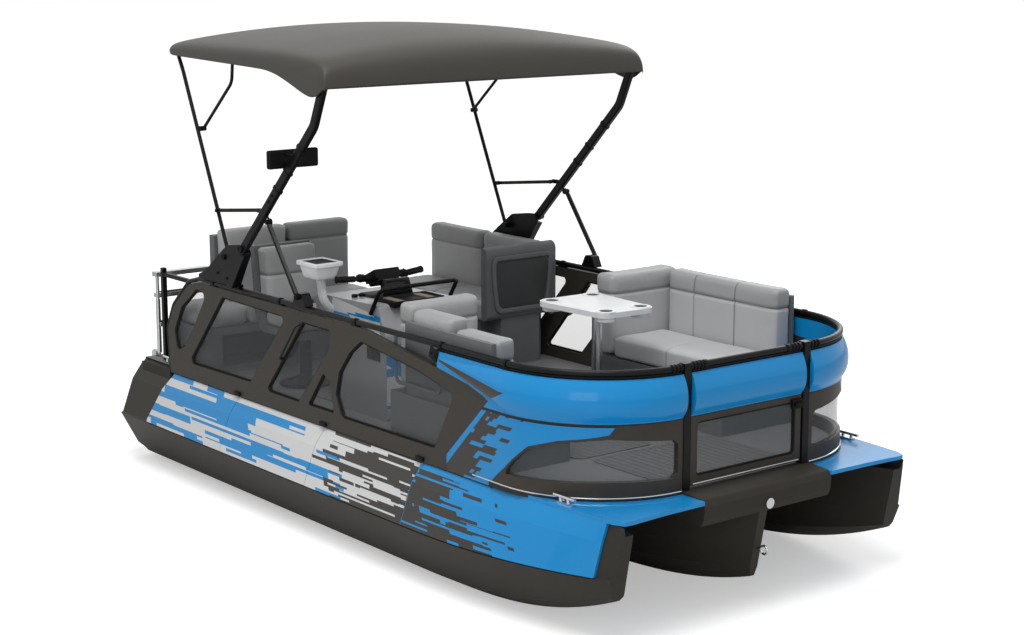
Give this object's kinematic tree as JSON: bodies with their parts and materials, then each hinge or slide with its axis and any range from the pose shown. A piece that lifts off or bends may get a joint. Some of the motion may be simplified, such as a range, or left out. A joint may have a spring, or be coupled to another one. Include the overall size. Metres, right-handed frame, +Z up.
{
  "type": "pontoon boat",
  "caption": "Compact multi-hulled pontoon boat with a jet drive, fenced deck, bow gate, helm, bench seats, table, folding bimini top and stern ladder.",
  "frame": {"origin": "under the middle of the boat on the plane its keels stand on", "axes": "+X to the bow, +Y to port, +Z up"},
  "size_m": [4.796, 2.493, 2.9028],
  "materials": {
    "hull_dark": "satin moulded polymer",
    "deck_dark": "grained deck and trim",
    "graphic_panel": "light panel with blue and black stripes",
    "blue_panel": "glossy blue",
    "frame_dark": "satin dark bronze",
    "smoked_pane": "smoked clear",
    "rail_black": "satin black",
    "black_plastic": "matte",
    "canopy_cloth": "stretched woven cloth",
    "vinyl_grey": "smooth marine vinyl",
    "shell_grey": "satin moulded shell",
    "console_grey": "satin",
    "table_white": "semi-gloss",
    "engine_metal": "cast",
    "steel": "polished stainless"
  },
  "bodies": {
    "hull": {"hull_port": "hull_dark", "hull_starboard": "hull_dark", "hull_center": "hull_dark", "engine_block": "engine_metal", "deck": "deck_dark", "side_panel_port": "graphic_panel", "side_panel_starboard": "graphic_panel", "bow_corner_port": "blue_panel", "bow_corner_starboard": "blue_panel", "fence_port": "frame_dark", "fence_starboard": "frame_dark", "bow_band_port": "blue_panel", "bow_band_starboard": "blue_panel", "glass_port": "smoked_pane", "glass_starboard": "smoked_pane", "rails": "rail_black", "gate_pins": "steel", "bimini_feet": "rail_black", "chair_base": "rail_black", "console": "console_grey", "console_trim": "black_plastic", "lounge_base": "shell_grey", "lounge_back": "vinyl_grey", "bench_base": "shell_grey", "bench_back": "vinyl_grey", "companion_base": "shell_grey", "companion_cushion": "vinyl_grey", "stern_base": "shell_grey", "stern_back": "vinyl_grey", "table_top": "table_white", "table_post": "table_white", "jet_pump": "engine_metal", "ladder_bracket": "steel", "fittings": "steel"},
    "gate": {"gate_frame": "frame_dark", "gate_hinges": "steel", "gate_band": "blue_panel", "gate_glass": "smoked_pane", "gate_rail": "rail_black"},
    "arch": {"bimini_arch": "rail_black", "mirror": "black_plastic", "canopy": "canopy_cloth"},
    "rear_bow": {"bimini_rear_bow": "rail_black"},
    "mid_bow": {"bimini_mid_bow": "rail_black"},
    "props": {"bimini_props": "rail_black"},
    "links": {"bimini_links": "rail_black"},
    "chair": {"chair_shell": "shell_grey", "chair_cushion": "vinyl_grey"},
    "helm": {"helm_bar": "black_plastic"},
    "lounge_lid": {"lounge_seat": "vinyl_grey"},
    "bench_lid": {"bench_seat": "vinyl_grey"},
    "stern_lid": {"stern_seat": "vinyl_grey"},
    "impeller": {"impeller": "steel"},
    "nozzle": {"steering_nozzle": "engine_metal"},
    "bucket": {"reverse_bucket": "black_plastic"},
    "ladder": {"ladder_upper": "steel"},
    "ladder_slide": {"ladder_lower": "steel"}
  },
  "joints": [
    {"name": "gate_swing", "type": "hinge", "parent": "hull", "child": "gate", "pos_m": [2.142, -0.404, 0.76], "axis": [0, 0, 1], "range_deg": [0, 95]},
    {"name": "steering", "type": "hinge", "parent": "hull", "child": "helm", "pos_m": [-0.27, -0.55, 1.349], "axis": [-0.4226, 0, 0.9063], "range_deg": [-25, 25]},
    {"name": "nozzle_turn", "type": "hinge", "parent": "hull", "child": "nozzle", "pos_m": [-2.255, 0, 0.215], "axis": [0, 0, 1], "range_deg": [-20, 20]},
    {"name": "impeller_spin", "type": "hinge", "parent": "hull", "child": "impeller", "pos_m": [-2.11, 0, 0.215], "axis": [1, 0, 0], "continuous": true},
    {"name": "bucket_drop", "type": "hinge", "parent": "hull", "child": "bucket", "pos_m": [-2.2, 0, 0.215], "axis": [0, -1, 0], "range_deg": [0, 70]},
    {"name": "chair_turn", "type": "hinge", "parent": "hull", "child": "chair", "pos_m": [-1.031, -0.65, 0.973], "axis": [0, 0, 1], "continuous": true},
    {"name": "arch_fold", "type": "hinge", "parent": "hull", "child": "arch", "pos_m": [-0.925, 0, 1.588], "axis": [0, -1, 0], "range_deg": [0, 125], "deforming": ["canopy"]},
    {"name": "rear_bow_fold", "type": "hinge", "parent": "hull", "child": "rear_bow", "pos_m": [-1.205, 0, 1.5], "axis": [0, -1, 0], "range_deg": [0, 62.5]},
    {"name": "mid_bow_fold", "type": "hinge", "parent": "rear_bow", "child": "mid_bow", "pos_m": [-1.528, 0, 2.259], "axis": [0, -1, 0], "range_deg": [0, 60]},
    {"name": "prop_swing", "type": "hinge", "parent": "arch", "child": "props", "pos_m": [-0.636, 0, 1.784], "axis": [0, -1, 0], "range_deg": [0, 95]},
    {"name": "link_swing", "type": "hinge", "parent": "rear_bow", "child": "links", "pos_m": [-1.305, 0, 1.776], "axis": [0, -1, 0], "range_deg": [0, 105]},
    {"name": "lounge_lid", "type": "hinge", "parent": "hull", "child": "lounge_lid", "pos_m": [1.07, 0.874, 1.103], "axis": [-1, 0, 0], "range_deg": [0, 80]},
    {"name": "bench_lid", "type": "hinge", "parent": "hull", "child": "bench_lid", "pos_m": [1.005, -0.874, 1.103], "axis": [1, 0, 0], "range_deg": [0, 80]},
    {"name": "stern_lid", "type": "hinge", "parent": "hull", "child": "stern_lid", "pos_m": [-1.863, -0.236, 1.103], "axis": [0, -1, 0], "range_deg": [0, 75]},
    {"name": "ladder_fold", "type": "hinge", "parent": "hull", "child": "ladder", "pos_m": [-2.392, -0.805, 0.69], "axis": [0, -1, 0], "range_deg": [0, 180]},
    {"name": "ladder_slide", "type": "slide", "parent": "ladder", "child": "ladder_slide", "axis": [0, 0, 1], "range_m": [0, 0.27]}
  ],
  "couplings": [
    {"joint": "nozzle_turn", "follows": "steering", "ratio": 0.8},
    {"joint": "rear_bow_fold", "follows": "arch_fold", "ratio": 0.5},
    {"joint": "mid_bow_fold", "follows": "arch_fold", "ratio": 0.48}
  ]
}
